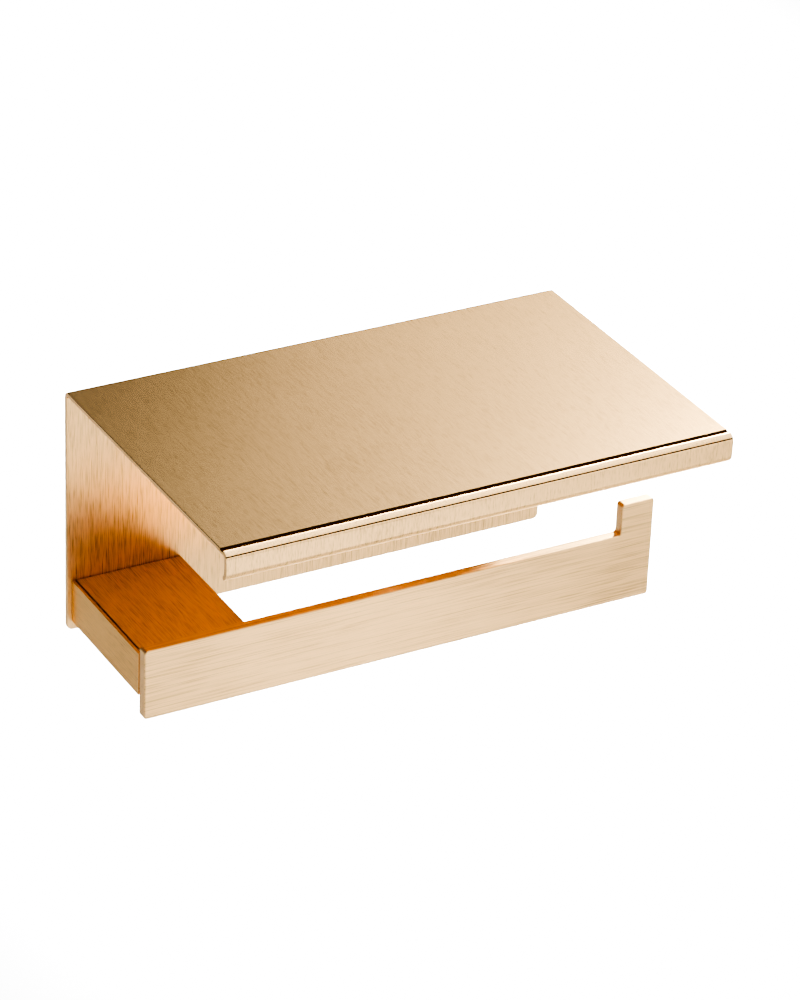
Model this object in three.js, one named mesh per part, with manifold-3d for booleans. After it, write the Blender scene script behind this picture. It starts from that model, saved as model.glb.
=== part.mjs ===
// Wall-mounted toilet paper holder with a phone shelf.
// Millimetres. +Z is up, +X runs to the open end of the roll bar, -Y points into the room.
// The wall is the plane y = 0. The origin lies on it, midway between the two wall screw holes.
import * as THREE from 'three';
import { mergeVertices } from 'three/addons/utils/BufferGeometryUtils.js';
import Module from 'manifold-3d';

const wasm = await Module();
wasm.setup();

// ---- driving dimensions ----
const WIDTH = 180;              // shelf and wall plate
const DEPTH = 116;              // wall to the front of the lip
const PLATE_HEIGHT = 89;        // top of the shelf to the bottom of the wall plate
const SHEET = 1.5;              // bent sheet thickness
const LIP_DROP = 10.5;          // top of the shelf to the underside of the lip
const BACK_BEND = 2.6;          // outer radius, wall plate to shelf
const LIP_BEND = 2.4;           // outer radius, shelf to lip
const LIP_CURL = 3.4;           // outer radius where the lip turns inwards
const LIP_TAIL = 1.2;           // flat end of the curl
const PLATE_CORNER = 2.2;
const LIP_CORNER = 3;

const HOLE_DROP = 24;           // top of the shelf to the wall screw holes
const HOLE_SPACING = 100;
const HOLE_RADIUS = 2.75;

const ARM_INSET = 1.7;          // wall plate's left edge to the arm's left face
const ARM_WIDTH = 40.2;
const ARM_HEIGHT = 15.6;
const ARM_DROP = 70.2;          // top of the shelf to the top of the arm
const ARM_SHEET = 1.2;
const ARM_BEND = 1.5;
const SIDE_PLATE = 1.1;
const SEAM = 0.5;               // gap between the side plate and the shell

const BAR_BACK = 52.6;          // wall to the bar's back face
const BAR_THICKNESS = 4;
const BAR_INSET = 1.9;
const BAR_LENGTH = 189.5;
const BAR_DROP = 67.4;          // top of the shelf to the top edge of the bar
const BAR_HEIGHT = 25.6;
const UPSTAND_WIDTH = 12.5;
const UPSTAND_RISE = 11.6;
const BAR_CORNER = 0.8;
const NOTCH_CORNER = 1.5;

const ROOT_BLOCK_DEPTH = 12;
const TIP_BLOCK_DEPTH = 8;
const GAP = 0.3;                // clearance between neighbouring pieces

const ROOT_SCREW_SPACING = 24;
const ROOT_SCREW_RADIUS = 1.5;
const ROOT_SCREW_HEAD = 2.6;
const ROOT_SCREW_HEAD_HEIGHT = 1.1;
const ROOT_SCREW_END = 10.5;    // depth of the screw's tip in front of the wall
const ROOT_SCREW_HEX = 1;
const BAR_SCREW_SPACING = 24;
const BAR_SCREW_RADIUS = 2;
const BAR_SCREW_HEAD = 3.5;
const BAR_SCREW_HEAD_HEIGHT = 4;
const BAR_SCREW_BITE = 2.2;     // thread length inside the bar
const BAR_SCREW_HEX = 1.5;      // half the socket's width across flats
const GRUB_RADIUS = 2;
const GRUB_LENGTH = 5;
const GRUB_HEX = 1;

// ---- places that follow from them ----
const LEFT = -WIDTH / 2;
const RIGHT = WIDTH / 2;
const TOP = HOLE_DROP;
const PLATE_BOTTOM = TOP - PLATE_HEIGHT;
const LIP_BOTTOM = TOP - LIP_DROP;
const ARM_LEFT = LEFT + ARM_INSET;
const ARM_RIGHT = ARM_LEFT + ARM_WIDTH;
const ARM_TOP = TOP - ARM_DROP;
const ARM_BOTTOM = ARM_TOP - ARM_HEIGHT;
const ARM_MIDDLE_X = (ARM_LEFT + ARM_RIGHT) / 2;
const ARM_MIDDLE_Z = (ARM_TOP + ARM_BOTTOM) / 2;
const ARM_REAR = -SHEET - GAP;
const ARM_FRONT = -BAR_BACK + GAP;
const BAR_LEFT = LEFT + BAR_INSET;
const BAR_RIGHT = BAR_LEFT + BAR_LENGTH;
const BAR_TOP = TOP - BAR_DROP;
const BAR_BOTTOM = BAR_TOP - BAR_HEIGHT;
const ROOT_BLOCK_FRONT = ARM_REAR - ROOT_BLOCK_DEPTH;
const TIP_BLOCK_REAR = ARM_FRONT + TIP_BLOCK_DEPTH;

const ROUND_STEPS = 32;

// ---- materials ----
const brushedGold = new THREE.MeshStandardMaterial({ color: 0xcfa877, roughness: 0.34, metalness: 1 });
const steel = new THREE.MeshStandardMaterial({ color: 0xb9babb, roughness: 0.4, metalness: 1 });

const holder = new THREE.Group();

// ---- helpers ----
const AXES_YZ = new THREE.Matrix4().set(
  0, 0, 1, 0,
  1, 0, 0, 0,
  0, 1, 0, 0,
  0, 0, 0, 1,
);
const AXES_XZ = new THREE.Matrix4().set(
  1, 0, 0, 0,
  0, 0, -1, 0,
  0, 1, 0, 0,
  0, 0, 0, 1,
);

// A YZ outline, extruded along +X from x = from to x = to.
function alongX(shape, from, to) {
  const geometry = new THREE.ExtrudeGeometry(shape, { depth: to - from, bevelEnabled: false });
  return geometry.applyMatrix4(AXES_YZ).translate(from, 0, 0);
}

// An XZ outline, extruded along -Y from y = from to y = to.
function alongY(shape, from, to) {
  const geometry = new THREE.ExtrudeGeometry(shape, { depth: from - to, bevelEnabled: false });
  return geometry.applyMatrix4(AXES_XZ).translate(0, from, 0);
}

// A closed outline with each corner [a, b, radius] rounded.
function roundedOutline(corners) {
  const shape = new THREE.Shape();
  const count = corners.length;
  corners.forEach(([a, b, radius], index) => {
    const here = new THREE.Vector2(a, b);
    const before = new THREE.Vector2(...corners[(index + count - 1) % count].slice(0, 2));
    const after = new THREE.Vector2(...corners[(index + 1) % count].slice(0, 2));
    const towardsBefore = before.sub(here).normalize().multiplyScalar(radius).add(here);
    const towardsAfter = after.sub(here).normalize().multiplyScalar(radius).add(here);
    if (index === 0) shape.moveTo(towardsBefore.x, towardsBefore.y);
    else shape.lineTo(towardsBefore.x, towardsBefore.y);
    if (radius > 0) shape.quadraticCurveTo(a, b, towardsAfter.x, towardsAfter.y);
  });
  shape.closePath();
  return shape;
}

function box(x0, x1, y0, y1, z0, z1) {
  const geometry = new THREE.BoxGeometry(x1 - x0, y1 - y0, z1 - z0);
  return geometry.translate((x0 + x1) / 2, (y0 + y1) / 2, (z0 + z1) / 2);
}

// A turned solid from [radius, height] points, lathed about local Y, with its axis along Y.
function turned(points, steps = ROUND_STEPS) {
  return new THREE.LatheGeometry(points.map(([r, h]) => new THREE.Vector2(r, h)), steps);
}

// A round cutter along -Y from y = from to y = to, centred on (x, z).
function roundCutY(x, z, radius, from, to) {
  const geometry = new THREE.CylinderGeometry(radius, radius, from - to, ROUND_STEPS);
  return geometry.translate(x, (from + to) / 2, z);
}

// A round cutter along Z, centred on (x, y).
function roundCutZ(x, y, radius, from, to) {
  const geometry = new THREE.CylinderGeometry(radius, radius, to - from, ROUND_STEPS);
  return geometry.rotateX(Math.PI / 2).translate(x, y, (from + to) / 2);
}

function solidOf(geometry) {
  const bare = geometry.clone();
  bare.deleteAttribute('normal');
  bare.deleteAttribute('uv');
  const merged = mergeVertices(bare, 1e-4);
  return new wasm.Manifold(new wasm.Mesh({
    numProp: 3,
    vertProperties: new Float32Array(merged.attributes.position.array),
    triVerts: new Uint32Array(merged.index.array),
  }));
}

function geometryOf(solid) {
  const mesh = solid.getMesh();
  const geometry = new THREE.BufferGeometry();
  geometry.setAttribute('position', new THREE.BufferAttribute(mesh.vertProperties, 3));
  geometry.setIndex(new THREE.BufferAttribute(mesh.triVerts, 1));
  geometry.computeVertexNormals();
  return geometry;
}

function cut(geometry, cutters) {
  let solid = solidOf(geometry);
  for (const cutter of cutters) solid = solid.subtract(solidOf(cutter));
  return geometryOf(solid);
}

function add(name, geometry, material) {
  const mesh = new THREE.Mesh(geometry, material);
  mesh.name = name;
  holder.add(mesh);
  return mesh;
}

// The waste outside a rounded bottom corner at (x, z); inward is +1 on a left corner, -1 on a right one.
function cornerWaste(x, z, inward, radius, from, to) {
  const shape = new THREE.Shape();
  const margin = 1;
  shape.moveTo(x - inward * margin, z - margin);
  shape.lineTo(x + inward * radius, z - margin);
  shape.lineTo(x + inward * radius, z);
  shape.quadraticCurveTo(x, z, x, z + radius);
  shape.lineTo(x - inward * margin, z + radius);
  shape.closePath();
  return alongY(shape, from, to);
}

// ---- wall plate, shelf and lip: one bent sheet ----
function sheetSection() {
  const quarter = Math.PI / 2;
  const front = -DEPTH;
  const tailEnd = front + LIP_CURL + LIP_TAIL;
  const backInner = BACK_BEND - SHEET;
  const lipInner = LIP_BEND - SHEET;
  const curlInner = LIP_CURL - SHEET;
  const shape = new THREE.Shape();
  shape.moveTo(0, PLATE_BOTTOM);
  shape.lineTo(0, TOP - BACK_BEND);
  shape.absarc(-BACK_BEND, TOP - BACK_BEND, BACK_BEND, 0, quarter, false);
  shape.lineTo(front + LIP_BEND, TOP);
  shape.absarc(front + LIP_BEND, TOP - LIP_BEND, LIP_BEND, quarter, 2 * quarter, false);
  shape.lineTo(front, LIP_BOTTOM + LIP_CURL);
  shape.absarc(front + LIP_CURL, LIP_BOTTOM + LIP_CURL, LIP_CURL, 2 * quarter, 3 * quarter, false);
  shape.lineTo(tailEnd, LIP_BOTTOM);
  shape.lineTo(tailEnd, LIP_BOTTOM + SHEET);
  shape.absarc(front + LIP_CURL, LIP_BOTTOM + LIP_CURL, curlInner, 3 * quarter, 2 * quarter, true);
  shape.lineTo(front + SHEET, TOP - LIP_BEND);
  shape.absarc(front + LIP_BEND, TOP - LIP_BEND, lipInner, 2 * quarter, quarter, true);
  shape.lineTo(-BACK_BEND, TOP - SHEET);
  shape.absarc(-BACK_BEND, TOP - BACK_BEND, backInner, quarter, 0, true);
  shape.lineTo(-SHEET, PLATE_BOTTOM);
  shape.closePath();
  return shape;
}

function rootScrewPlaces() {
  return [-1, 1].map((side) => ARM_MIDDLE_X + side * ROOT_SCREW_SPACING / 2);
}

function countersink(x) {
  const headGap = ROOT_SCREW_HEAD + GAP;
  const shankGap = ROOT_SCREW_RADIUS + GAP;
  const depth = ROOT_SCREW_HEAD_HEIGHT + GAP;
  const points = [[0, 1], [headGap, 1], [headGap, 0], [shankGap, -depth], [shankGap, -SHEET - 1], [0, -SHEET - 1]];
  return turned(points.reverse()).translate(x, 0, ARM_MIDDLE_Z);
}

function makeShelfSheet() {
  const lipRear = -DEPTH + LIP_CURL + LIP_TAIL + 1;
  const cutters = [];
  for (const side of [-1, 1]) {
    const edge = side * WIDTH / 2;
    cutters.push(cornerWaste(edge, PLATE_BOTTOM, -side, PLATE_CORNER, 1, -SHEET - 1));
    cutters.push(cornerWaste(edge, LIP_BOTTOM, -side, LIP_CORNER, lipRear, -DEPTH - 1));
    cutters.push(roundCutY(side * HOLE_SPACING / 2, 0, HOLE_RADIUS, 1, -SHEET - 1));
  }
  for (const x of rootScrewPlaces()) cutters.push(countersink(x));
  add('shelf_sheet', cut(alongX(sheetSection(), LEFT, RIGHT), cutters), brushedGold);
}

// ---- arm: C-shaped shell, left side plate, and the two blocks inside it ----
function grubPlaces() {
  return { rear: ARM_REAR - ROOT_BLOCK_DEPTH / 2, front: ARM_FRONT + TIP_BLOCK_DEPTH / 2 };
}

function makeArmShell() {
  const open = ARM_LEFT + SIDE_PLATE + SEAM;
  const innerBend = ARM_BEND - ARM_SHEET;
  const shape = roundedOutline([
    [open, ARM_BOTTOM, 0],
    [ARM_RIGHT, ARM_BOTTOM, ARM_BEND],
    [ARM_RIGHT, ARM_TOP, ARM_BEND],
    [open, ARM_TOP, 0],
    [open, ARM_TOP - ARM_SHEET, 0],
    [ARM_RIGHT - ARM_SHEET, ARM_TOP - ARM_SHEET, innerBend],
    [ARM_RIGHT - ARM_SHEET, ARM_BOTTOM + ARM_SHEET, innerBend],
    [open, ARM_BOTTOM + ARM_SHEET, 0],
  ]);
  const radius = GRUB_RADIUS + GAP;
  const grubHoles = Object.values(grubPlaces()).map(
    (y) => roundCutZ(ARM_MIDDLE_X, y, radius, ARM_BOTTOM - 1, ARM_BOTTOM + ARM_SHEET + 1),
  );
  add('arm_shell', cut(alongY(shape, ARM_REAR, ARM_FRONT), grubHoles), brushedGold);
}

function makeArmSidePlate() {
  const geometry = box(ARM_LEFT, ARM_LEFT + SIDE_PLATE, ARM_FRONT, ARM_REAR, ARM_BOTTOM, ARM_TOP);
  add('arm_side_plate', geometry, brushedGold);
}

function armBlock(front, rear, grubY) {
  const left = ARM_LEFT + SIDE_PLATE + GAP;
  const right = ARM_RIGHT - ARM_SHEET - GAP;
  const bottom = ARM_BOTTOM + ARM_SHEET + GAP;
  const top = ARM_TOP - ARM_SHEET - GAP;
  const grubHole = roundCutZ(ARM_MIDDLE_X, grubY, GRUB_RADIUS + GAP, bottom - 1, ARM_BOTTOM + GRUB_LENGTH + 2 * GAP);
  return { block: box(left, right, front, rear, bottom, top), grubHole };
}

function makeArmRootBlock() {
  const { block, grubHole } = armBlock(ROOT_BLOCK_FRONT, ARM_REAR, grubPlaces().rear);
  const radius = ROOT_SCREW_RADIUS + GAP;
  const screwHoles = rootScrewPlaces().map(
    (x) => roundCutY(x, ARM_MIDDLE_Z, radius, ARM_REAR + 1, -ROOT_SCREW_END - GAP),
  );
  add('arm_root_block', cut(block, [grubHole, ...screwHoles]), steel);
}

function barScrewPlaces() {
  return [-1, 1].map((side) => ARM_MIDDLE_X + side * BAR_SCREW_SPACING / 2);
}

function makeArmTipBlock() {
  const { block, grubHole } = armBlock(ARM_FRONT, TIP_BLOCK_REAR, grubPlaces().front);
  const radius = BAR_SCREW_RADIUS + GAP;
  const screwHoles = barScrewPlaces().map(
    (x) => roundCutY(x, ARM_MIDDLE_Z, radius, TIP_BLOCK_REAR + 1, ARM_FRONT - 1),
  );
  add('arm_tip_block', cut(block, [grubHole, ...screwHoles]), steel);
}

// ---- roll bar: flat L-shaped bar with an upturned end ----
function makeRollBar() {
  const shape = roundedOutline([
    [BAR_LEFT, BAR_BOTTOM, BAR_CORNER],
    [BAR_RIGHT, BAR_BOTTOM, BAR_CORNER],
    [BAR_RIGHT, BAR_TOP + UPSTAND_RISE, BAR_CORNER],
    [BAR_RIGHT - UPSTAND_WIDTH, BAR_TOP + UPSTAND_RISE, BAR_CORNER],
    [BAR_RIGHT - UPSTAND_WIDTH, BAR_TOP, NOTCH_CORNER],
    [BAR_LEFT, BAR_TOP, BAR_CORNER],
  ]);
  const bar = alongY(shape, -BAR_BACK, -BAR_BACK - BAR_THICKNESS);
  const holeEnd = -BAR_BACK - BAR_SCREW_BITE - GAP;
  const blindHoles = barScrewPlaces().map(
    (x) => roundCutY(x, ARM_MIDDLE_Z, BAR_SCREW_RADIUS + GAP, -BAR_BACK + 1, holeEnd),
  );
  add('roll_bar', cut(bar, blindHoles), brushedGold);
}

// ---- fasteners ----
// A hexagonal socket, half its width across flats given, from y = from down to y = to.
function hexCut(apothem, from, to) {
  const steps = 6;
  const radius = apothem / Math.cos(Math.PI / steps);
  return new THREE.CylinderGeometry(radius, radius, from - to, steps).translate(0, (from + to) / 2, 0);
}

// Countersunk screws from behind the wall plate into the root block.
function makeRootScrews() {
  const face = -0.1;
  const neck = face - ROOT_SCREW_HEAD_HEIGHT;
  const tip = -ROOT_SCREW_END;
  const profile = [
    [0, tip],
    [ROOT_SCREW_RADIUS - 0.4, tip],
    [ROOT_SCREW_RADIUS, tip + 0.5],
    [ROOT_SCREW_RADIUS, neck],
    [ROOT_SCREW_HEAD, face],
    [0, face],
  ];
  const socketDepth = 0.9;
  const names = ['root_screw_left', 'root_screw_right'];
  rootScrewPlaces().forEach((x, index) => {
    const screw = cut(turned(profile), [hexCut(ROOT_SCREW_HEX, face + 1, face - socketDepth)]);
    add(names[index], screw.translate(x, 0, ARM_MIDDLE_Z), steel);
  });
}

// Socket head screws inside the arm, through the tip block into the bar.
function makeBarScrews() {
  const seat = TIP_BLOCK_REAR + GAP;
  const head = seat + BAR_SCREW_HEAD_HEIGHT;
  const tip = -BAR_BACK - BAR_SCREW_BITE;
  const profile = [
    [0, tip],
    [BAR_SCREW_RADIUS - 0.4, tip],
    [BAR_SCREW_RADIUS, tip + 0.5],
    [BAR_SCREW_RADIUS, seat],
    [BAR_SCREW_HEAD, seat],
    [BAR_SCREW_HEAD, head - 0.4],
    [BAR_SCREW_HEAD - 0.4, head],
    [0, head],
  ];
  const socketDepth = 2;
  const names = ['bar_screw_left', 'bar_screw_right'];
  barScrewPlaces().forEach((x, index) => {
    const screw = cut(turned(profile), [hexCut(BAR_SCREW_HEX, head + 1, head - socketDepth)]);
    add(names[index], screw.translate(x, 0, ARM_MIDDLE_Z), steel);
  });
}

// Grub screws under the arm, through the shell into the two blocks.
function makeGrubScrews() {
  const chamfer = 0.5;
  const profile = [
    [0, 0],
    [GRUB_RADIUS - chamfer, 0],
    [GRUB_RADIUS, chamfer],
    [GRUB_RADIUS, GRUB_LENGTH - chamfer],
    [GRUB_RADIUS - chamfer, GRUB_LENGTH],
    [0, GRUB_LENGTH],
  ];
  const socketDepth = 2;
  for (const [place, y] of Object.entries(grubPlaces())) {
    const screw = cut(turned(profile), [hexCut(GRUB_HEX, socketDepth, -1)]);
    screw.rotateX(Math.PI / 2).translate(ARM_MIDDLE_X, y, ARM_BOTTOM + 0.1);
    add(`grub_screw_${place}`, screw, steel);
  }
}

makeShelfSheet();
makeArmShell();
makeArmSidePlate();
makeArmRootBlock();
makeArmTipBlock();
makeRollBar();
makeRootScrews();
makeBarScrews();
makeGrubScrews();

export default holder;
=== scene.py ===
"""Looks of a wall-mounted toilet paper holder with a phone shelf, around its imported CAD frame."""
import math

import bmesh
import bpy
from mathutils import Matrix, Vector


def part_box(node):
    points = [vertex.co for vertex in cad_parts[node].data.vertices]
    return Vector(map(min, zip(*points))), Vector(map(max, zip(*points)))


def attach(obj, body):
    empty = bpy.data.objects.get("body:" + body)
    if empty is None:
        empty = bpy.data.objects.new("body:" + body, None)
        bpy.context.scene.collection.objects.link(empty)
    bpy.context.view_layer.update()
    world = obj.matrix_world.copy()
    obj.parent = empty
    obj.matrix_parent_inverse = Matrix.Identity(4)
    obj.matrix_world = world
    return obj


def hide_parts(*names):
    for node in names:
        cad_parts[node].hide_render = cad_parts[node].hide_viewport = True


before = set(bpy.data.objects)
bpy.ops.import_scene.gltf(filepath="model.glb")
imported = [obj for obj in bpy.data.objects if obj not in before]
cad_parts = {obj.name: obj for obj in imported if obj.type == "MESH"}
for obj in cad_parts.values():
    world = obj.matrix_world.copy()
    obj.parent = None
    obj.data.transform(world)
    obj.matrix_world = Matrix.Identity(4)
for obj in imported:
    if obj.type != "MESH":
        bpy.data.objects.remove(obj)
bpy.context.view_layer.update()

MM = 0.001
QUARTER = math.pi / 2
X_AXIS = (1, 0, 0)
Y_AXIS = (0, 1, 0)
Z_AXIS = (0, 0, 1)


def box_mm(node):
    """A CAD node's lowest and highest corners, in millimetres."""
    low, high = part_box(node)
    return low / MM, high / MM


# ---- dimensions in millimetres; places come from the CAD nodes ----
SHEET_LOW, SHEET_HIGH = box_mm("shelf_sheet")
SHELL_LOW, SHELL_HIGH = box_mm("arm_shell")
SIDE_LOW, SIDE_HIGH = box_mm("arm_side_plate")
BAR_LOW, BAR_HIGH = box_mm("roll_bar")

SHEET = 1.5
BACK_BEND = 2.6
LIP_BEND = 2.4
LIP_CURL = 3.4
LIP_TAIL = 1.2
LIP_DROP = 10.5
PLATE_CORNER = 2.2
LIP_CORNER = 3.6
SHEET_EDGE = 0.28
SEAM_WIDTH = 2.0
SEAM_DEPTH = 0.45
CREASE_WIDTH = 0.42
CREASE_DEPTH = 0.2
CREASE_TURN = math.radians(62)

WALL_HOLE_RADIUS = 2.75
WALL_HOLE_SPACING = 100
COUNTERSINK_RADIUS = 2.9
COUNTERSINK_DEPTH = 1.4
COUNTERSINK_NECK = 1.8

ARM_SHEET = 1.2
ARM_BEND = 1.5
ARM_EDGE = 0.18
GRUB_HOLE_RADIUS = 2.3

BAR_CORNER = 1.1
BAR_EDGE = 0.55
NOTCH_CORNER = 1.2
UPSTAND_WIDTH = 12.5
UPSTAND_RISE = 11.6
BAR_HOLE_RADIUS = 2.3
BAR_HOLE_DEPTH = 2.5

BEND_STEPS = 12
EDGE_STEPS = 4
CORNER_STEPS = 8
HOLE_STEPS = 40
SHARP_ANGLE = math.radians(32)
SMALLEST_MITRE = 0.3
GROOVE_GAP = 0.02
END_FACE = 0.9


# ---- mesh helpers ----
def rim_layers(radius, thickness):
    """(inset, depth) pairs from the edge of one face, round the rim, to the edge of the other."""
    near = []
    for step in range(EDGE_STEPS + 1):
        angle = QUARTER * step / EDGE_STEPS
        near.append((radius * (1 - math.sin(angle)), radius * (1 - math.cos(angle))))
    far = [(inset, thickness - depth) for inset, depth in reversed(near)]
    return near + far


def inset_outline(points, distance):
    """A closed anticlockwise outline, moved inwards by a distance."""
    moved = []
    count = len(points)
    for index, here in enumerate(points):
        before = (here - points[index - 1]).normalized()
        after = (points[(index + 1) % count] - here).normalized()
        normal = (Vector((-before.y, before.x)) + Vector((-after.y, after.x))).normalized()
        cosine = normal.dot(Vector((-after.y, after.x)))
        moved.append(here + normal * distance / max(cosine, SMALLEST_MITRE))
    return moved


def round_corner(corner, before, after, radius):
    """The points of an arc that rounds the corner between two neighbours, square to each other."""
    corner, before, after = Vector(corner), Vector(before), Vector(after)
    back = (before - corner).normalized()
    on = (after - corner).normalized()
    centre = corner + (back + on) * radius
    points = []
    for step in range(CORNER_STEPS + 1):
        angle = QUARTER * step / CORNER_STEPS
        points.append(centre - on * radius * math.cos(angle) - back * radius * math.sin(angle))
    return points


def rounded_outline(corners):
    """An outline of square corners (a, b, radius), each one rounded."""
    points = []
    count = len(corners)
    for index, (a, b, radius) in enumerate(corners):
        before = corners[index - 1][:2]
        after = corners[(index + 1) % count][:2]
        points += round_corner((a, b), before, after, radius)
    return points


def skin(mesh, loops, close):
    """Joins closed loops of vertices with quads, and closes both ends with the given function."""
    rings = [[mesh.verts.new(point) for point in loop] for loop in loops]
    count = len(rings[0])
    for ring, following in zip(rings, rings[1:]):
        for index in range(count):
            after = (index + 1) % count
            mesh.faces.new((ring[index], ring[after], following[after], following[index]))
    for ring in (rings[0], rings[-1]):
        close(mesh, ring)


def object_from(mesh, name):
    """A Blender object from a bmesh, linked to the scene. It frees the bmesh."""
    bmesh.ops.recalc_face_normals(mesh, faces=mesh.faces)
    data = bpy.data.meshes.new(name)
    mesh.to_mesh(data)
    mesh.free()
    piece = bpy.data.objects.new(name, data)
    bpy.context.scene.collection.objects.link(piece)
    return piece


def cap(mesh, ring):
    """Closes a flat ring with one face."""
    mesh.faces.new(ring)


def flat_piece(name, outline, thickness, edge, place):
    """A flat plate from an anticlockwise outline, with a rounded rim. place(a, b, depth) gives a point."""
    mesh = bmesh.new()
    loops = []
    for inset, depth in rim_layers(edge, thickness):
        ring = inset_outline(outline, inset) if inset > 0 else outline
        loops.append([place(point.x, point.y, depth) for point in ring])
    skin(mesh, loops, cap)
    return object_from(mesh, name)


class Section:
    """The outer line of a bent sheet: straight runs and left-hand bends, in its section plane."""

    def __init__(self, start, heading):
        self.spot = Vector(start)
        self.heading = Vector(heading)
        self.runs = []
        self.length = 0

    def line(self, length):
        self.runs.append((self.length, length, self.spot, self.heading, None))
        self.spot = self.spot + self.heading * length
        self.length += length
        return self

    def bend(self, radius):
        length = radius * QUARTER
        self.runs.append((self.length, length, self.spot, self.heading, radius))
        out = outward(self.heading)
        self.spot = self.spot - out * radius + self.heading * radius
        self.heading = -out
        self.length += length
        return self

    def at(self, travel):
        """The point and outward normal at a distance along the line."""
        run = self.runs[0]
        for candidate in self.runs:
            if travel >= candidate[0]:
                run = candidate
        begin, _, spot, heading, radius = run
        out = outward(heading)
        if radius is None:
            return spot + heading * (travel - begin), out
        turn = (travel - begin) / radius
        normal = out * math.cos(turn) + heading * math.sin(turn)
        return spot - out * radius + normal * radius, normal


def outward(heading):
    return Vector((heading.y, -heading.x))


def section_rows(section, corner_start, corner_end):
    """(inset, travel, groove depth) rows of a sheet, with its corners rounded at both ends."""
    rows = []
    for step in range(CORNER_STEPS + 1):
        angle = QUARTER * step / CORNER_STEPS
        rows.append((corner_start * (1 - math.sin(angle)), corner_start * (1 - math.cos(angle)), 0))
    for begin, length, _, _, radius in section.runs:
        if radius is None:
            continue
        for step in range(BEND_STEPS + 1):
            travel = begin + length * step / BEND_STEPS
            if travel < section.length - corner_end:
                rows.append((0, travel, 0))
    for step in range(CORNER_STEPS + 1):
        angle = QUARTER * step / CORNER_STEPS
        travel = section.length - corner_end * (1 - math.sin(angle))
        rows.append((corner_end * (1 - math.cos(angle)), travel, 0))
    return rows


def with_groove(rows, middle, width, depth):
    """The rows of a sheet with a narrow groove pressed into its outer face."""
    half = width / 2
    wall = width / 8
    kept = [row for row in rows if abs(row[1] - middle) > half + GROOVE_GAP]
    groove = [
        (0, middle - half, 0),
        (0, middle - half + wall, depth),
        (0, middle + half - wall, depth),
        (0, middle + half, 0),
    ]
    return sorted(kept + groove, key=lambda row: row[1])


def bent_sheet(name, section, rows, width, thickness, edge, place):
    """A sheet of even thickness bent along a section, with a rounded rim. place(a, b, u) gives a point."""
    right = [Vector((width / 2 - inset, travel)) for inset, travel, _ in rows]
    left = [Vector((inset - width / 2, travel)) for inset, travel, _ in reversed(rows)]
    depths = [row[2] for row in rows]
    depths += depths[::-1]
    outline = right + left
    loops = []
    for inset, depth in rim_layers(edge, thickness):
        ring = inset_outline(outline, inset) if inset > 0 else outline
        loop = []
        for point, groove in zip(ring, depths):
            spot, normal = section.at(point.y)
            spot = spot - normal * (groove + depth * (1 - groove / thickness))
            loop.append(place(spot.x, spot.y, point.x))
        loops.append(loop)

    def close(mesh, ring):
        last = len(ring) - 1
        for index in range(len(rows) - 1):
            mesh.faces.new((ring[index], ring[index + 1], ring[last - index - 1], ring[last - index]))

    mesh = bmesh.new()
    skin(mesh, loops, close)
    return object_from(mesh, name)


def cutter(spot, axis, profile):
    """A turned cutter: (radius, distance) points along an axis through a spot."""
    mesh = bmesh.new()
    spot, axis = Vector(spot), Vector(axis)
    across = axis.orthogonal().normalized()
    beside = axis.cross(across)
    loops = []
    for radius, distance in profile:
        loop = []
        for step in range(HOLE_STEPS):
            angle = math.tau * step / HOLE_STEPS
            out = across * math.cos(angle) + beside * math.sin(angle)
            loop.append(spot + axis * distance + out * radius)
        loops.append(loop)
    skin(mesh, loops, cap)
    return object_from(mesh, "cutter")


def drill(piece, cutters):
    """Cuts each cutter out of the piece for good, and removes the cutters."""
    for tool in cutters:
        modifier = piece.modifiers.new("hole", "BOOLEAN")
        modifier.operation = "DIFFERENCE"
        modifier.solver = "EXACT"
        modifier.object = tool
    shape = piece.evaluated_get(bpy.context.evaluated_depsgraph_get())
    drilled = bpy.data.meshes.new_from_object(shape)
    piece.modifiers.clear()
    piece.data = drilled
    for tool in cutters:
        bpy.data.objects.remove(tool)


def end_picker(axis):
    """Gives faces that look along an axis (0 for X, 1 for Y) the second material, and the rest the first."""
    return lambda polygon: int(abs(polygon.normal[axis]) > END_FACE)


def finish_piece(piece, node, materials, pick=None):
    """Scales a piece to metres, shades it, gives it materials, hangs it on the root body and hides its CAD
    node.
    """
    piece.data.transform(Matrix.Scale(MM, 4))
    piece.data.materials.clear()
    for material in materials:
        piece.data.materials.append(material)
    for polygon in piece.data.polygons:
        polygon.use_smooth = True
        polygon.material_index = pick(polygon) if pick else 0
    piece.data.set_sharp_from_angle(angle=SHARP_ANGLE)
    weighted = piece.modifiers.new("even_shading", "WEIGHTED_NORMAL")
    weighted.keep_sharp = True
    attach(piece, "root")
    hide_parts(node)
    return piece


# ---- materials ----
NOISE_ROUGHNESS = 0.5
GRAIN_RANGE = (0.3, 0.7)
TONE_RANGE = (0.34, 0.66)
GROUND_RANGE = (0.35, 0.65)
BRIGHTEST = 0.97
BRUSH_HEIGHT = 0.00004
GRIND_HEIGHT = 0.00003
BRUSH_STRETCH = 0.6


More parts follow.
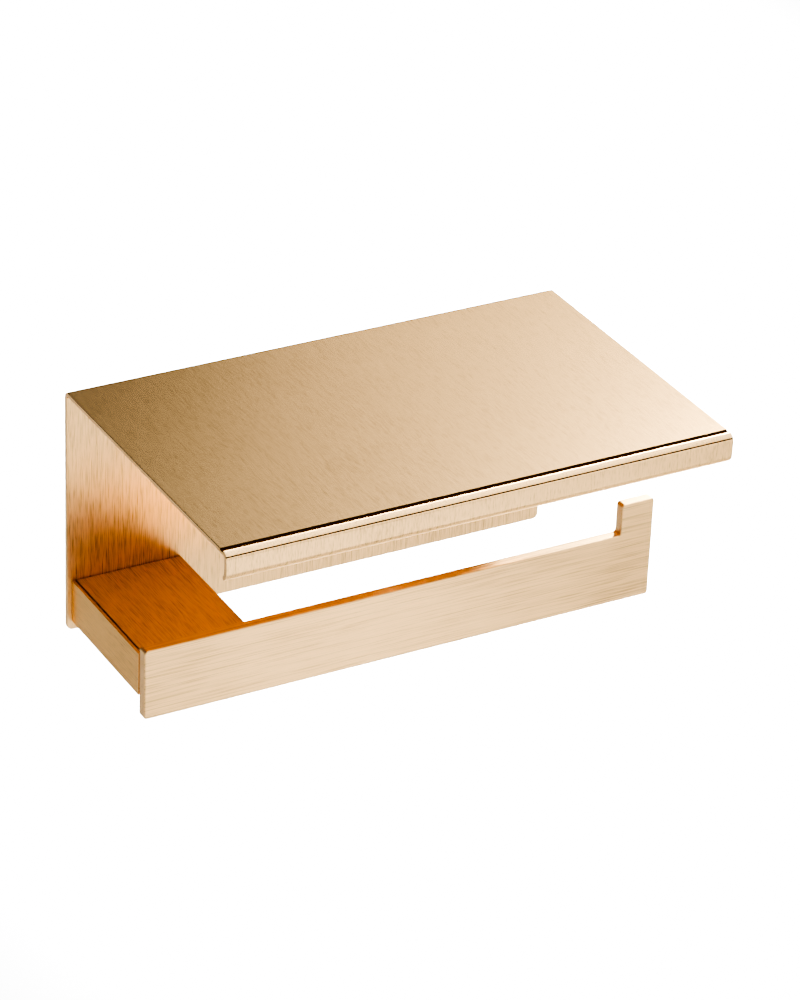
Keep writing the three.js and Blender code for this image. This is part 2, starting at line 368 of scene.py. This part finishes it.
class Tree:
    """A short way to add and link the nodes of one material."""

    def __init__(self, name):
        self.material = bpy.data.materials.new(name)
        self.material.use_nodes = True
        self.nodes = self.material.node_tree.nodes
        self.links = self.material.node_tree.links
        self.shader = self.nodes["Principled BSDF"]
        self.place = self.nodes.new("ShaderNodeTexCoord").outputs["Object"]

    def noise(self, scales, detail):
        """Noise whose grain is scales per metre along each axis."""
        mapping = self.nodes.new("ShaderNodeMapping")
        mapping.inputs["Scale"].default_value = scales
        self.links.new(self.place, mapping.inputs["Vector"])
        texture = self.nodes.new("ShaderNodeTexNoise")
        texture.inputs["Scale"].default_value = 1
        texture.inputs["Detail"].default_value = detail
        texture.inputs["Roughness"].default_value = NOISE_ROUGHNESS
        self.links.new(mapping.outputs["Vector"], texture.inputs["Vector"])
        return texture.outputs["Fac"]

    def blend(self, first, second, share):
        """A weighted sum of two values."""
        node = self.nodes.new("ShaderNodeMix")
        node.data_type = "FLOAT"
        node.inputs["Factor"].default_value = share
        self.links.new(first, node.inputs["A"])
        self.links.new(second, node.inputs["B"])
        return node.outputs["Result"]

    def spread(self, value, low, high, to_low, to_high):
        """A value mapped from one range to another."""
        node = self.nodes.new("ShaderNodeMapRange")
        node.inputs["From Min"].default_value = low
        node.inputs["From Max"].default_value = high
        node.inputs["To Min"].default_value = to_low
        node.inputs["To Max"].default_value = to_high
        self.links.new(value, node.inputs["Value"])
        return node.outputs["Result"]

    def ramp(self, value, stops):
        """A colour ramp from (position, colour) stops."""
        node = self.nodes.new("ShaderNodeValToRGB")
        elements = node.color_ramp.elements
        elements[0].position, elements[0].color = stops[0][0], (*stops[0][1], 1)
        elements[1].position, elements[1].color = stops[-1][0], (*stops[-1][1], 1)
        for position, colour in stops[1:-1]:
            elements.new(position).color = (*colour, 1)
        self.links.new(value, node.inputs["Fac"])
        return node.outputs["Color"]

    def bump(self, height, strength, distance):
        node = self.nodes.new("ShaderNodeBump")
        node.inputs["Strength"].default_value = strength
        node.inputs["Distance"].default_value = distance
        self.links.new(height, node.inputs["Height"])
        self.links.new(node.outputs["Normal"], self.shader.inputs["Normal"])

    def stretch(self, amount, axis):
        """Stretches highlights square to the surface's normal and the given axis."""
        self.shader.inputs["Anisotropic"].default_value = amount
        geometry = self.nodes.new("ShaderNodeNewGeometry")
        cross = self.nodes.new("ShaderNodeVectorMath")
        cross.operation = "CROSS_PRODUCT"
        cross.inputs[1].default_value = axis
        self.links.new(geometry.outputs["Normal"], cross.inputs[0])
        self.links.new(cross.outputs["Vector"], self.shader.inputs["Tangent"])

    def feed(self, value, socket):
        self.links.new(value, self.shader.inputs[socket])


def grain_scales(grain, axis):
    """Noise scales for grain that is long along one axis and narrow across it."""
    across, along = grain
    return tuple(along if part else across for part in axis)


GOLD = (0.85, 0.55, 0.255)
DARK_GOLD = (0.76, 0.44, 0.155)
LIGHT_GOLD = (0.90, 0.57, 0.245)
EDGE_TINT = (0.94, 0.77, 0.56, 1)


def shaded(colour, factor):
    return tuple(min(part * factor, BRIGHTEST) for part in colour)


def brushed_gold(name, axis, fine, medium, tones, relief, roughness):
    """Gold plating over metal brushed along one axis.

    fine and medium are (across, along) grain per metre, and tones the darkest and lightest streak.
    """
    tree = Tree(name)
    fine_grain = tree.noise(grain_scales(fine, axis), 2)
    medium_grain = tree.noise(grain_scales(medium, axis), 3)
    patches = tree.noise((22, 22, 22), 2)
    streaks = tree.blend(fine_grain, medium_grain, 0.45)
    tone = tree.blend(streaks, patches, 0.2)
    colour = tree.ramp(tree.spread(tone, *TONE_RANGE, 0, 1),
                       [(0, shaded(GOLD, tones[0])), (0.5, GOLD), (1, shaded(GOLD, tones[1]))])
    tree.feed(colour, "Base Color")
    tree.feed(tree.spread(streaks, *GRAIN_RANGE, *roughness), "Roughness")
    tree.shader.inputs["Metallic"].default_value = 1
    tree.shader.inputs["Specular Tint"].default_value = EDGE_TINT
    tree.bump(streaks, relief, BRUSH_HEIGHT)
    tree.stretch(BRUSH_STRETCH, axis)
    return tree.material


def cut_edge(name):
    """The narrow cut edges of the gold sheet: lightly ground, with a short, even grain."""
    tree = Tree(name)
    grain = tree.noise((2600, 2600, 2600), 3)
    patches = tree.noise((180, 180, 180), 2)
    value = tree.blend(grain, patches, 0.4)
    tree.feed(tree.ramp(tree.spread(value, *GROUND_RANGE, 0, 1),
                        [(0, DARK_GOLD), (0.5, GOLD), (1, LIGHT_GOLD)]), "Base Color")
    tree.feed(tree.spread(grain, *GRAIN_RANGE, 0.26, 0.38), "Roughness")
    tree.shader.inputs["Metallic"].default_value = 1
    tree.bump(grain, 0.12, GRIND_HEIGHT)
    return tree.material


def groove_shade():
    """Painted shade: the bottom of the narrow grooves along the lip, coloured near-black as if in shadow."""
    tree = Tree("groove_painted_shade")
    grain = tree.noise((900, 300, 300), 3)
    # this near-black base colour paints the shade inside the grooves
    tree.feed(tree.ramp(grain, [(0.3, (0.035, 0.017, 0.006)), (0.7, (0.07, 0.034, 0.012))]), "Base Color")
    tree.feed(tree.spread(grain, *GRAIN_RANGE, 0.55, 0.75), "Roughness")
    tree.shader.inputs["Metallic"].default_value = 1
    tree.shader.inputs["Specular Tint"].default_value = (0.2, 0.11, 0.05, 1)
    return tree.material


def plain_steel():
    """Turned and milled stainless steel of the hidden blocks and screws."""
    tree = Tree("plain_steel")
    fine = tree.noise((2400, 500, 2400), 3)
    broad = tree.noise((150, 150, 150), 2)
    value = tree.blend(fine, broad, 0.35)
    tree.feed(tree.ramp(tree.spread(value, *GROUND_RANGE, 0, 1),
                        [(0, (0.42, 0.42, 0.43)), (1, (0.58, 0.58, 0.59))]), "Base Color")
    tree.feed(tree.spread(fine, *GRAIN_RANGE, 0.28, 0.42), "Roughness")
    tree.shader.inputs["Metallic"].default_value = 1
    tree.bump(fine, 0.15, GRIND_HEIGHT)
    return tree.material


# ---- wall plate, shelf and lip ----
LIP_RUN = 3
GROOVE_TOP = 0.3
GROOVE_FLOOR = 1.2


def sheet_section():
    """Plate, rear bend, shelf, lip's bend (run LIP_RUN), lip, curl and tail."""
    depth = SHEET_HIGH.y - SHEET_LOW.y
    height = SHEET_HIGH.z - SHEET_LOW.z
    section = Section((SHEET_HIGH.y, SHEET_LOW.z), (0, 1))
    section.line(height - BACK_BEND).bend(BACK_BEND)
    section.line(depth - BACK_BEND - LIP_BEND).bend(LIP_BEND)
    section.line(LIP_DROP - LIP_BEND - LIP_CURL).bend(LIP_CURL).line(LIP_TAIL)
    return section


def wall_holes():
    through = [(WALL_HOLE_RADIUS, -SHEET * 2), (WALL_HOLE_RADIUS, SHEET)]
    tools = []
    for side in (-1, 1):
        tools.append(cutter((side * WALL_HOLE_SPACING / 2, 0, 0), Y_AXIS, through))
    sink = [
        (COUNTERSINK_NECK, -SHEET * 2),
        (COUNTERSINK_NECK, -COUNTERSINK_DEPTH),
        (COUNTERSINK_RADIUS, 0),
        (COUNTERSINK_RADIUS, SHEET),
    ]
    for node in ("root_screw_left", "root_screw_right"):
        low, high = box_mm(node)
        middle = (low + high) / 2
        tools.append(cutter((middle.x, 0, middle.z), Y_AXIS, sink))
    return tools


def in_groove(point, spot, normal, half, depth):
    """Whether a point of the section lies between a groove's mouth and its bottom."""
    away = spot - point
    below = away.dot(normal)
    beside = (away - normal * below).length
    return depth * GROOVE_TOP < below < depth * GROOVE_FLOOR and beside < half


def make_sheet(materials):
    """materials: shelf, plate, lip, cut edge and the painted shade of the grooves."""
    shelf, plate, lip, edge, groove = range(5)
    section = sheet_section()
    lip_run = section.runs[LIP_RUN]
    rows = section_rows(section, PLATE_CORNER, LIP_CORNER)
    seam = lip_run[0] - SEAM_WIDTH / 2
    crease = lip_run[0] + LIP_BEND * CREASE_TURN
    rows = with_groove(rows, seam, SEAM_WIDTH, SEAM_DEPTH)
    rows = with_groove(rows, crease, CREASE_WIDTH, CREASE_DEPTH)
    width = SHEET_HIGH.x - SHEET_LOW.x
    middle = (SHEET_HIGH.x + SHEET_LOW.x) / 2
    piece = bent_sheet("bent_shelf_sheet", section, rows, width, SHEET, SHEET_EDGE,
                       lambda a, b, u: Vector((middle + u, a, b)))
    drill(piece, wall_holes())
    grooves = [
        (*section.at(seam), SEAM_WIDTH / 2, SEAM_DEPTH),
        (*section.at(crease), CREASE_WIDTH / 2, CREASE_DEPTH),
    ]

    bend_end = (SHEET_HIGH.z - BACK_BEND) * MM
    lip_start = section.at(seam)[0].x * MM

    def pick(polygon):
        centre = polygon.center
        if abs(polygon.normal.x) > END_FACE:
            return edge
        # groove walls and bottoms get the painted groove shade
        if any(in_groove(Vector((centre.y, centre.z)) / MM, *place) for place in grooves):
            return groove
        if centre.y < lip_start:
            return lip
        return plate if centre.z < bend_end else shelf

    return finish_piece(piece, "shelf_sheet", materials, pick)


# ---- arm ----
def make_arm_shell(face, edge):
    width = SHELL_HIGH.y - SHELL_LOW.y
    middle = (SHELL_HIGH.y + SHELL_LOW.y) / 2
    run = SHELL_HIGH.x - SHELL_LOW.x - ARM_BEND
    rise = SHELL_HIGH.z - SHELL_LOW.z - 2 * ARM_BEND
    section = Section((SHELL_LOW.x, SHELL_LOW.z), (1, 0))
    section.line(run).bend(ARM_BEND).line(rise).bend(ARM_BEND).line(run)
    rows = section_rows(section, ARM_EDGE, ARM_EDGE)
    piece = bent_sheet("arm_shell_sheet", section, rows, width, ARM_SHEET, ARM_EDGE,
                       lambda a, b, u: Vector((a, middle - u, b)))
    through = [(GRUB_HOLE_RADIUS, -ARM_SHEET), (GRUB_HOLE_RADIUS, ARM_SHEET * 2)]
    tools = []
    for node in ("grub_screw_rear", "grub_screw_front"):
        low, high = box_mm(node)
        spot = (low + high) / 2
        tools.append(cutter((spot.x, spot.y, SHELL_LOW.z), Z_AXIS, through))
    drill(piece, tools)
    return finish_piece(piece, "arm_shell", [face, edge], end_picker(1))


def make_side_plate(face, edge):
    corners = [
        (SIDE_LOW.y, SIDE_LOW.z, ARM_EDGE),
        (SIDE_HIGH.y, SIDE_LOW.z, ARM_EDGE),
        (SIDE_HIGH.y, SIDE_HIGH.z, ARM_EDGE),
        (SIDE_LOW.y, SIDE_HIGH.z, ARM_EDGE),
    ]
    thickness = SIDE_HIGH.x - SIDE_LOW.x
    piece = flat_piece("arm_side_sheet", rounded_outline(corners), thickness, ARM_EDGE * 0.9,
                       lambda a, b, depth: Vector((SIDE_LOW.x + depth, a, b)))
    return finish_piece(piece, "arm_side_plate", [face, edge], end_picker(1))


# ---- roll bar ----
def make_bar(face, edge):
    top = BAR_HIGH.z - UPSTAND_RISE
    notch = BAR_HIGH.x - UPSTAND_WIDTH
    corners = [
        (BAR_LOW.x, BAR_LOW.z, BAR_CORNER),
        (BAR_HIGH.x, BAR_LOW.z, BAR_CORNER),
        (BAR_HIGH.x, BAR_HIGH.z, BAR_CORNER),
        (notch, BAR_HIGH.z, BAR_CORNER),
        (notch, top, NOTCH_CORNER),
        (BAR_LOW.x, top, BAR_CORNER),
    ]
    thickness = BAR_HIGH.y - BAR_LOW.y
    piece = flat_piece("roll_bar_plate", rounded_outline(corners), thickness, BAR_EDGE,
                       lambda a, b, depth: Vector((a, BAR_LOW.y + depth, b)))
    blind = [(BAR_HOLE_RADIUS, -BAR_HOLE_DEPTH), (BAR_HOLE_RADIUS, BAR_HOLE_DEPTH)]
    tools = []
    for node in ("bar_screw_left", "bar_screw_right"):
        low, high = box_mm(node)
        spot = (low + high) / 2
        tools.append(cutter((spot.x, BAR_HIGH.y, spot.z), Y_AXIS, blind))
    drill(piece, tools)
    return finish_piece(piece, "roll_bar", [face, edge], end_picker(0))


BRUSHED_FACES = {
    "shelf": {
        "axis": Y_AXIS, "fine": (2300, 300), "medium": (1200, 100),
        "tones": (0.82, 1.06), "relief": 0.03, "roughness": (0.255, 0.265),
    },
    "plate": {
        "axis": Z_AXIS, "fine": (4600, 170), "medium": (2900, 80),
        "tones": (0.44, 1.18), "relief": 0.3, "roughness": (0.34, 0.46),
    },
    "lip": {
        "axis": Z_AXIS, "fine": (3000, 400), "medium": (1700, 160),
        "tones": (0.58, 1.12), "relief": 0.16, "roughness": (0.28, 0.36),
    },
    "arm": {
        "axis": Y_AXIS, "fine": (3600, 180), "medium": (2200, 50),
        "tones": (0.66, 1.10), "relief": 0.2, "roughness": (0.30, 0.40),
    },
    "bar": {
        "axis": X_AXIS, "fine": (3000, 50), "medium": (1500, 14),
        "tones": (0.50, 1.14), "relief": 0.2, "roughness": (0.28, 0.38),
    },
}


def make_holder():
    edge = cut_edge("gold_cut_edge")
    gold = {face: brushed_gold(f"gold_brushed_{face}", **look) for face, look in BRUSHED_FACES.items()}
    make_sheet([gold["shelf"], gold["plate"], gold["lip"], edge, groove_shade()])
    make_arm_shell(gold["arm"], edge)
    make_side_plate(gold["arm"], edge)
    make_bar(gold["bar"], edge)
    steel = plain_steel()
    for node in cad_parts.values():
        if node.hide_render:
            continue
        node.data.materials.clear()
        node.data.materials.append(steel)


# ---- floor, lights and camera ----
FLOOR_DEPTH = -0.55
FLOOR_SIZE = 24


def make_floor():
    tree = Tree("pale_floor")
    soft = tree.noise((0.8, 0.8, 0.8), 2)
    tree.feed(tree.ramp(soft, [(0.3, (0.90, 0.90, 0.90)), (0.7, (0.93, 0.93, 0.93))]), "Base Color")
    tree.shader.inputs["Roughness"].default_value = 0.9
    mesh = bmesh.new()
    half = FLOOR_SIZE / 2
    corners = [(-half, -half), (half, -half), (half, half), (-half, half)]
    mesh.faces.new([mesh.verts.new((x, y, FLOOR_DEPTH)) for x, y in corners])
    floor = object_from(mesh, "floor")
    floor.data.materials.append(tree.material)


def aim(thing, spot, target):
    """Puts a thing at a spot, with its -Z side towards the target."""
    direction = Vector(target) - Vector(spot)
    turn = direction.to_track_quat("-Z", "Y").to_matrix().to_4x4()
    thing.matrix_world = Matrix.Translation(spot) @ turn


def soft_light(name, spot, target, size, power, spread=180):
    """A soft rectangular light. Places and size in metres, power in watts, spread in degrees."""
    data = bpy.data.lights.new(name, "AREA")
    data.shape = "RECTANGLE"
    data.size, data.size_y = size
    data.energy = power
    data.spread = math.radians(spread)
    light = bpy.data.objects.new(name, data)
    bpy.context.scene.collection.objects.link(light)
    light.visible_camera = False
    aim(light, spot, target)


def make_world(strength):
    world = bpy.data.worlds.new("studio")
    world.use_nodes = True
    background = world.node_tree.nodes["Background"]
    background.inputs["Color"].default_value = (1, 1, 1, 1)
    background.inputs["Strength"].default_value = strength
    bpy.context.scene.world = world


WORLD_STRENGTH = 0.06
SOFT_LIGHTS = {
    "overhead_front": {"spot": (0.75, -1.7, 1.5), "target": (0.75, -1.7, 0), "size": (1.3, 1.6), "power": 18},
    "overhead_back": {"spot": (0.75, -0.1, 1.5), "target": (0.75, -0.1, 0), "size": (1.3, 1.6), "power": 18},
    "right_back": {"spot": (0.80, 1.12, 0.625), "target": (0, -0.05, 0), "size": (0.4, 0.35), "power": 0.45},
    "front": {"spot": (0.95, -2.2, 0.08), "target": (0, -0.1, 0), "size": (0.9, 0.5), "power": 5},
    "left": {"spot": (-2.2, -0.1, 0.75), "target": (0, -0.05, 0), "size": (1.4, 1.0), "power": 2.5},
    "back": {"spot": (-0.5, 2.6, 0.6), "target": (0, -0.05, 0), "size": (1.4, 0.6), "power": 3},
    "low_front": {
        "spot": (0.33, -0.9, -0.47), "target": (0.33, -0.9, 0.5), "size": (0.17, 0.7), "power": 0.9,
    },
    "behind_right": {
        "spot": (2.15, 2.1, 1.9), "target": (0.1, -0.05, 0), "size": (0.4, 0.4), "power": 4.4, "spread": 34,
    },
    "floor_wash": {
        "spot": (0.6, 0.95, 0.02), "target": (0.6, 0.95, -1), "size": (1.0, 1.5), "power": 40, "spread": 80,
    },
}
OUTER_WASH_REACH = 5.8
OUTER_WASH_HEIGHT = -0.1
OUTER_WASH_SIZE = 9
OUTER_WASH_POWER = 230


def make_lights():
    """Soft lights round the holder, and four wide ones close over the floor that keep it pale."""
    make_world(WORLD_STRENGTH)
    for name, light in SOFT_LIGHTS.items():
        soft_light(name, **light)
    for index, (x, y) in enumerate(((1, 0), (0, 1), (-1, 0), (0, -1))):
        spot = Vector((x * OUTER_WASH_REACH, y * OUTER_WASH_REACH, OUTER_WASH_HEIGHT))
        size = (OUTER_WASH_SIZE, OUTER_WASH_SIZE)
        soft_light(f"outer_wash_{index}", spot, spot - Vector(Z_AXIS), size, OUTER_WASH_POWER)


CAMERA_SPOT = Vector((-0.56879, -1.05512, 0.63327))
CAMERA_TURN = math.radians(-29.791)
CAMERA_RISE = math.radians(29.184)
CAMERA_ROLL = math.radians(2.438)
CAMERA_LENS = 146.84
CAMERA_SENSOR = 36


def make_camera():
    data = bpy.data.cameras.new("camera")
    data.lens = CAMERA_LENS
    data.sensor_width = CAMERA_SENSOR
    camera = bpy.data.objects.new("camera", data)
    bpy.context.scene.collection.objects.link(camera)
    level = Matrix.Rotation(CAMERA_TURN, 4, "Z") @ Matrix.Rotation(QUARTER - CAMERA_RISE, 4, "X")
    camera.matrix_world = Matrix.Translation(CAMERA_SPOT) @ level @ Matrix.Rotation(CAMERA_ROLL, 4, "Z")
    bpy.context.scene.camera = camera


make_camera()
make_holder()
make_floor()
make_lights()
bpy.context.scene.view_settings.view_transform = "AgX"
bpy.context.scene.view_settings.look = "AgX - High Contrast"

bpy.context.view_layer.update()
